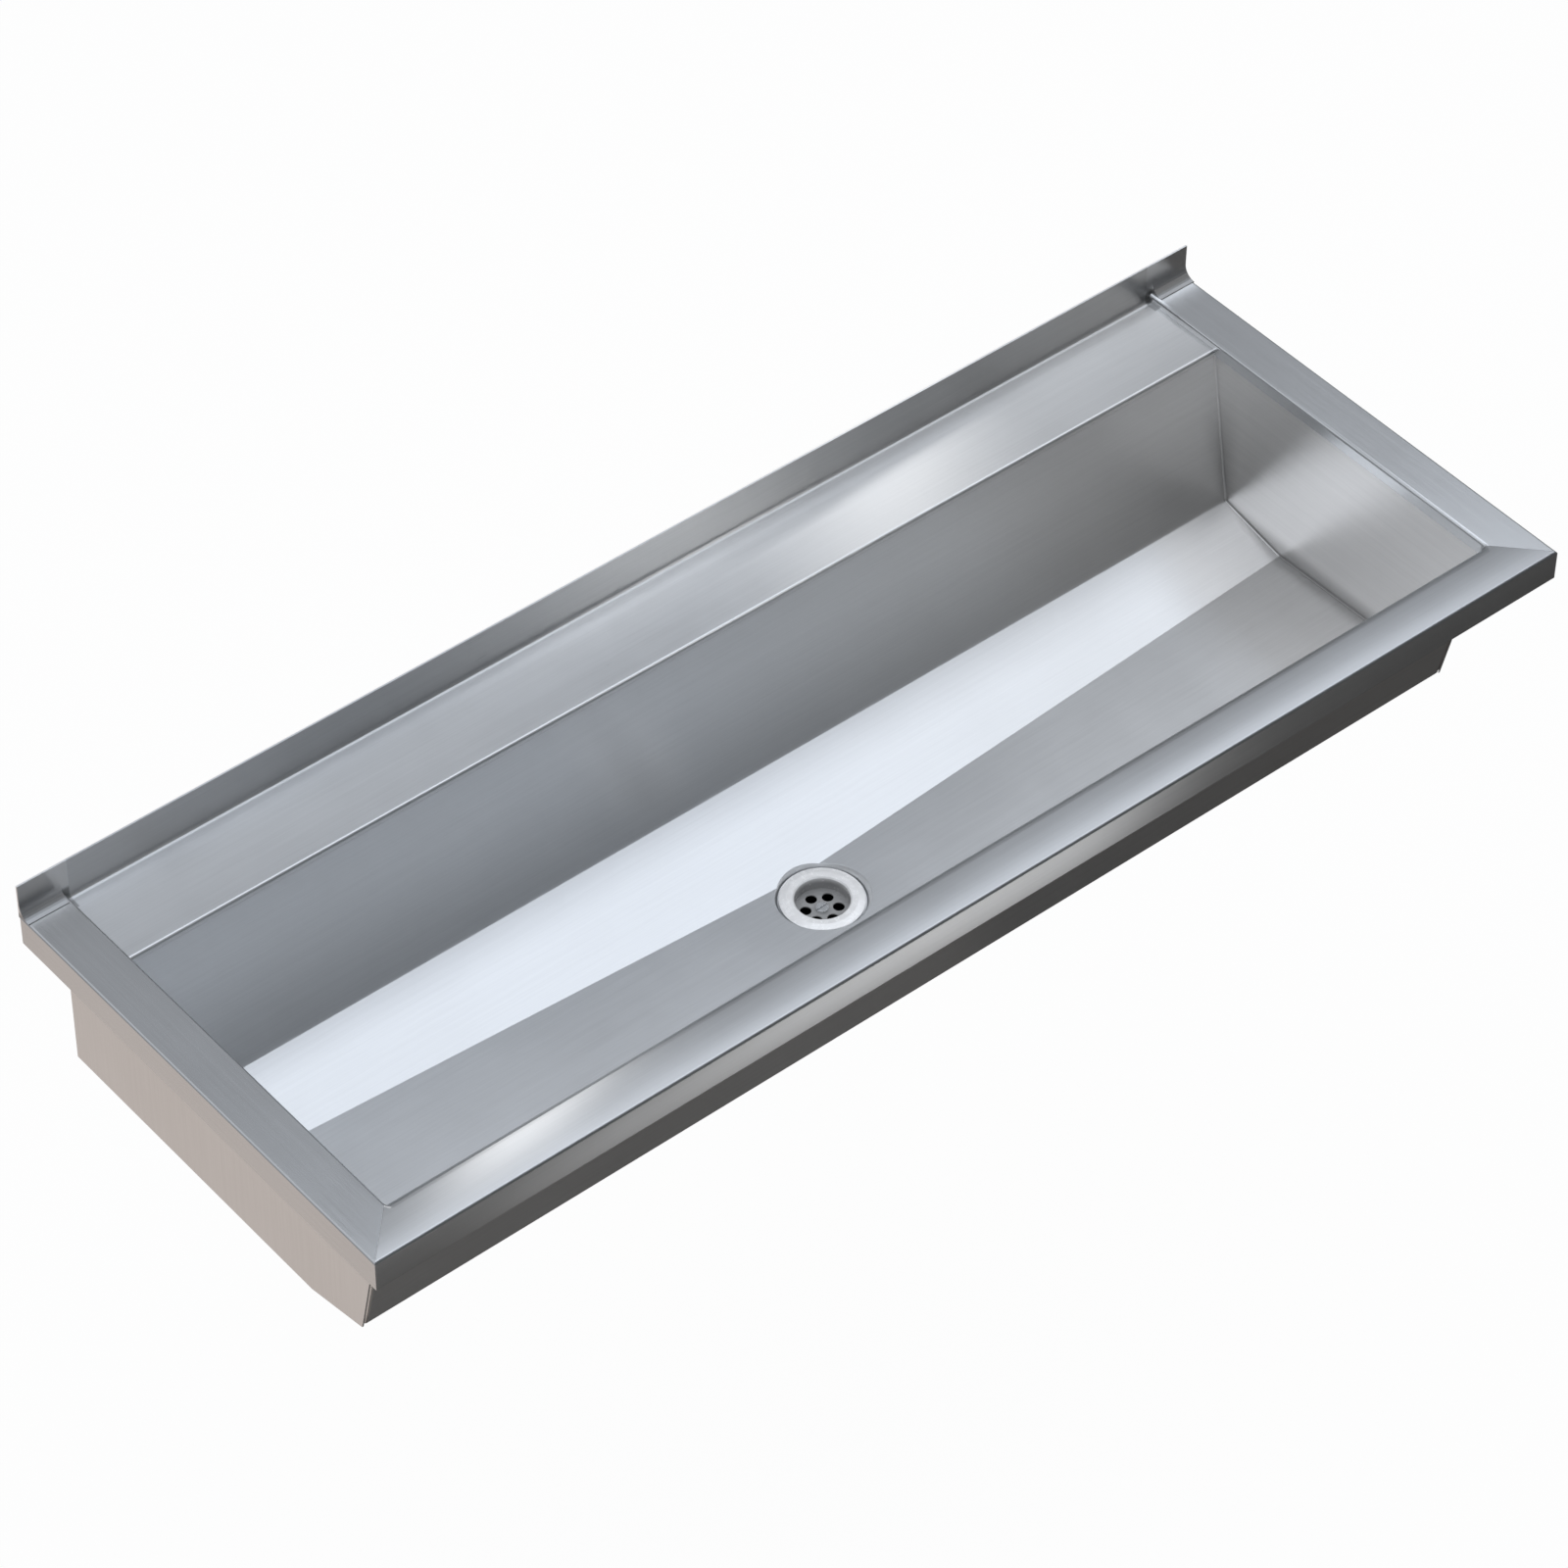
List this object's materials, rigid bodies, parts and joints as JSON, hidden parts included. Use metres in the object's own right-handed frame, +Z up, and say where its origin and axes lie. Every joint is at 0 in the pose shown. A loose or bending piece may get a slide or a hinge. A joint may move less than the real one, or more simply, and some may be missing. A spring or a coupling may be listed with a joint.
{
  "type": "trough sink",
  "caption": "Long wall-hung wash trough of folded steel sheet with a sloping floor, grid waste, rear ledge and upstand, closed gables and wall brackets.",
  "frame": {"origin": "middle of the four wall fixing holes, on the wall plane", "axes": "+X along the trough to the right as seen from the front, +Y into the wall, +Z up"},
  "size_m": [1.2, 0.45, 0.285],
  "materials": {
    "brushed_sheet": "brushed along each panel",
    "polished_steel": "polished",
    "zinc_plate": "zinc plated, satin",
    "waste_metal": "plated, satin",
    "tag_steel": "as rolled",
    "seal_rubber": "matt",
    "sound_pad": "matt bitumen"
  },
  "bodies": {
    "root": {"bowl_pan": "brushed_sheet", "left_end_wall": "brushed_sheet", "right_end_wall": "brushed_sheet", "front_rim": "brushed_sheet", "left_rim": "brushed_sheet", "right_rim": "brushed_sheet", "rear_upstand": "brushed_sheet", "left_gable": "brushed_sheet", "right_gable": "brushed_sheet", "ledge_stiffener": "zinc_plate", "left_wall_bracket": "zinc_plate", "right_wall_bracket": "zinc_plate", "bracket_bolts": "zinc_plate", "bracket_washers": "zinc_plate", "bracket_nuts": "zinc_plate", "left_sound_pad": "sound_pad", "right_sound_pad": "sound_pad", "strainer": "polished_steel", "strainer_screw": "polished_steel", "upper_seal": "seal_rubber", "lower_seal": "seal_rubber", "waste_body": "waste_metal", "earth_tag": "tag_steel", "earth_bolt": "zinc_plate", "earth_nut": "zinc_plate"}
  },
  "joints": []
}
